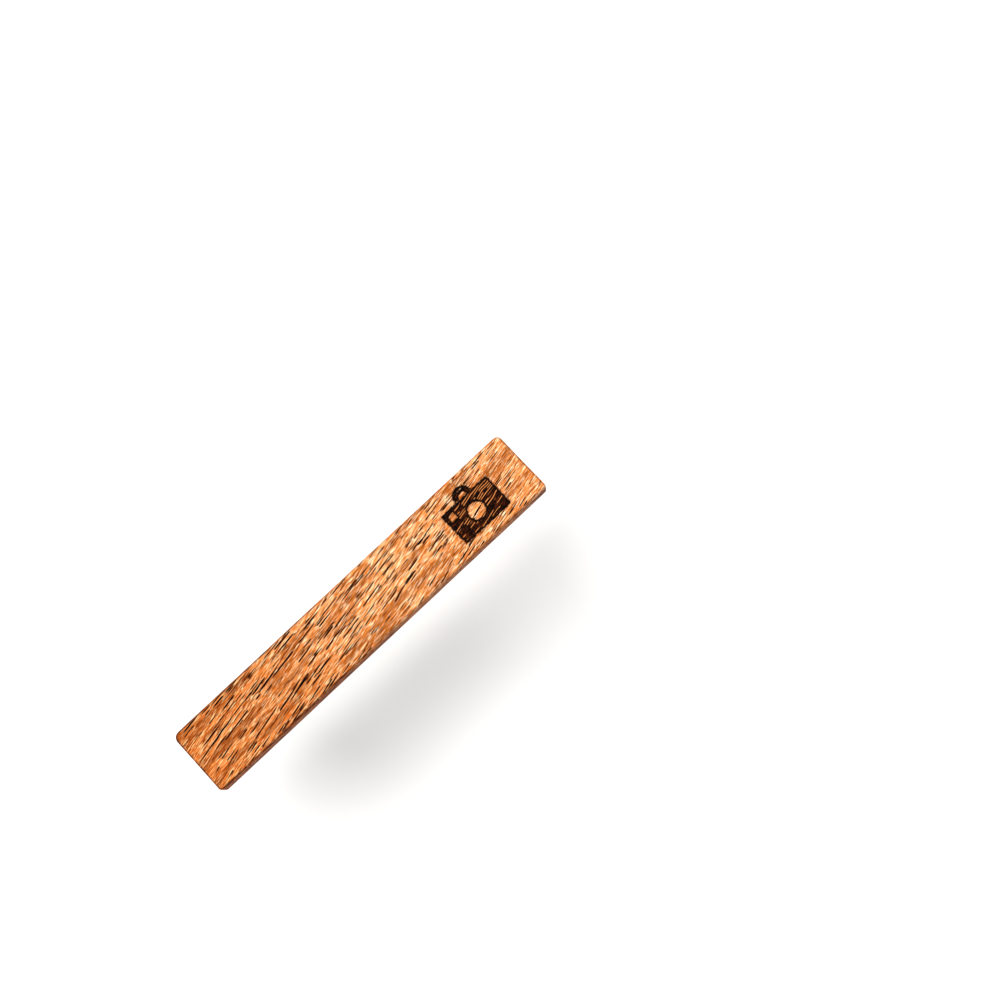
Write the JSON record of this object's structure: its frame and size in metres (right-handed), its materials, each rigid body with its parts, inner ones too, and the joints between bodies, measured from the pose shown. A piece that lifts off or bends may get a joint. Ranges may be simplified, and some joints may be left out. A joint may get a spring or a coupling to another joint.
{
  "type": "tie clip",
  "caption": "Oak tie bar with a burnt camera sign, glued to a sprung steel clip whose toothed jaw pinches a tie and the shirt placket behind it.",
  "frame": {"origin": "on the plane the clip lies on, under the middle of the oak bar", "axes": "+X along the bar from the thumb tab towards the jaw, +Z out of the oak face that is seen in use, +Y across the bar"},
  "size_m": [0.057, 0.0094, 0.0102],
  "materials": {
    "oak": "sanded oak with a thin clear oil finish and a burnt, recessed sign",
    "glue": "cured clear adhesive",
    "nickel": "bright nickel plate on stamped steel",
    "spring_wire": "drawn spring wire"
  },
  "bodies": {
    "front": {"oak_bar": "oak", "glue_film": "glue", "mounting_bar": "nickel", "hinge_bracket": "nickel", "hinge_pin": "nickel", "torsion_spring": "spring_wire"},
    "lever": {"clip_lever": "nickel"}
  },
  "joints": [
    {"name": "lever_hinge", "type": "hinge", "parent": "front", "child": "lever", "pos_m": [-0.013, 0, 0.0028], "axis": [0, 1, 0], "range_deg": [0, 22], "stiffness_Nm_per_rad": 0.006, "springref_deg": -22.92, "deforming": ["torsion_spring"]}
  ]
}
